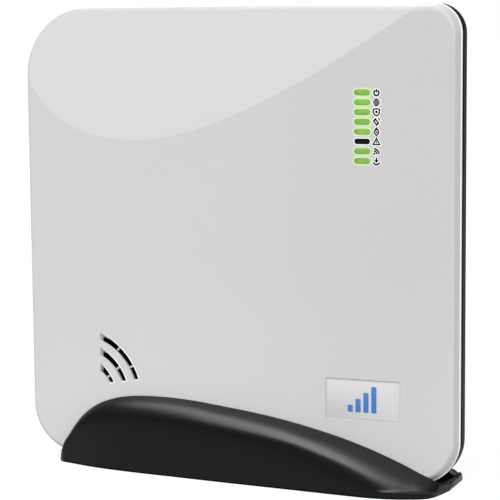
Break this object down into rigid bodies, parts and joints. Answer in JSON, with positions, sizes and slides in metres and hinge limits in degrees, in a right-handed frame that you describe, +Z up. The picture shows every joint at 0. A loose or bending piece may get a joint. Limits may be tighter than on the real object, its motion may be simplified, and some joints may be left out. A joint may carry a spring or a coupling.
{
  "type": "cellular radio hub on desk stand",
  "caption": "Thin square white panel with rounded corners, status lights and an arc grille, standing upright in a low wave-shaped black desk stand.",
  "frame": {"origin": "centre of the footprint's box, on the surface the stand's rubber feet rest on", "axes": "+X to the viewer's right across the panel's front, +Y away from the viewer through the panel's thickness, +Z up"},
  "size_m": [0.2, 0.0532, 0.203],
  "materials": {
    "stand_black": "satin moulded plastic",
    "rubber": "matt",
    "zinc_steel": "zinc plated",
    "dark_steel": "black zinc",
    "cover_white": "satin moulded plastic",
    "cover_black": "fine textured plastic",
    "badge_film": "satin film",
    "ink_blue": "printed",
    "ink_black": "printed",
    "lens_green": "clear, lit",
    "lens_dark": "clear, unlit",
    "chip_black": "moulded",
    "circuit_board": "solder mask",
    "tinned_steel": "tinned",
    "aluminium": "bead blasted",
    "cream_plastic": "moulded",
    "capacitor_sleeve": "shrink sleeve",
    "aerial_board": "solder mask",
    "lead_jacket": "extruded",
    "gold": "gold plated",
    "sounder_black": "moulded",
    "mesh_black": "woven",
    "battery_wrap": "shrink film",
    "card_white": "card",
    "button_grey": "moulded",
    "label_silver": "printed film"
  },
  "bodies": {
    "stand": {"desk_stand": "stand_black", "stand_feet": "rubber", "ballast_bars": "zinc_steel", "ballast_screws": "dark_steel"},
    "hub": {"front_cover": "cover_white", "rear_cover": "cover_black", "battery_bay": "cover_black", "case_screws": "dark_steel", "badge_plate": "badge_film", "badge_mark": "ink_blue", "status_icons": "ink_black", "light_guide": "lens_green", "light_guide_frame": "cover_black", "status_leds": "chip_black", "main_board": "circuit_board", "board_screws": "zinc_steel", "radio_shield_can": "tinned_steel", "processor_chip": "chip_black", "processor_heat_sink": "aluminium", "module_socket": "cream_plastic", "cellular_module": "circuit_board", "cellular_module_shield": "tinned_steel", "module_supports": "zinc_steel", "network_transformer": "chip_black", "smoothing_capacitors": "capacitor_sleeve", "power_inductor": "chip_black", "main_cellular_aerial": "aerial_board", "second_cellular_aerial": "aerial_board", "wifi_aerials": "aerial_board", "aerial_leads": "lead_jacket", "aerial_connectors": "gold", "sounder": "sounder_black", "sounder_gasket": "rubber", "sounder_dust_mesh": "mesh_black", "sounder_retainer": "cream_plastic", "network_socket": "tinned_steel", "network_contacts": "gold", "power_inlet": "cover_black", "power_inlet_pin": "tinned_steel", "battery_pack": "battery_wrap", "battery_plug": "cream_plastic", "battery_leads": "lead_jacket", "sim_socket": "tinned_steel", "pairing_switch": "chip_black", "tamper_switch": "chip_black", "rear_label": "label_silver"},
    "door": {"battery_door": "cover_black"},
    "sim": {"sim_card": "card_white"},
    "button": {"pairing_button": "button_grey"},
    "plunger": {"tamper_plunger": "cream_plastic"}
  },
  "joints": [
    {"name": "hub_lift", "type": "slide", "parent": "stand", "child": "hub", "axis": [0, 0, 1], "range_m": [0, 0.035]},
    {"name": "door_hinge", "type": "hinge", "parent": "hub", "child": "door", "pos_m": [0.004, 0.01, 0.0639], "axis": [-1, 0, 0], "range_deg": [0, 90]},
    {"name": "sim_slide", "type": "slide", "parent": "hub", "child": "sim", "axis": [-1, 0, 0], "range_m": [0, 0.011]},
    {"name": "button_press", "type": "slide", "parent": "hub", "child": "button", "axis": [0, -1, 0], "range_m": [0, 0.0008], "stiffness_N_per_m": 600, "springref_m": -0.0005},
    {"name": "plunger_press", "type": "slide", "parent": "hub", "child": "plunger", "axis": [0, -1, 0], "range_m": [0, 0.0022], "stiffness_N_per_m": 250, "springref_m": -0.001}
  ]
}
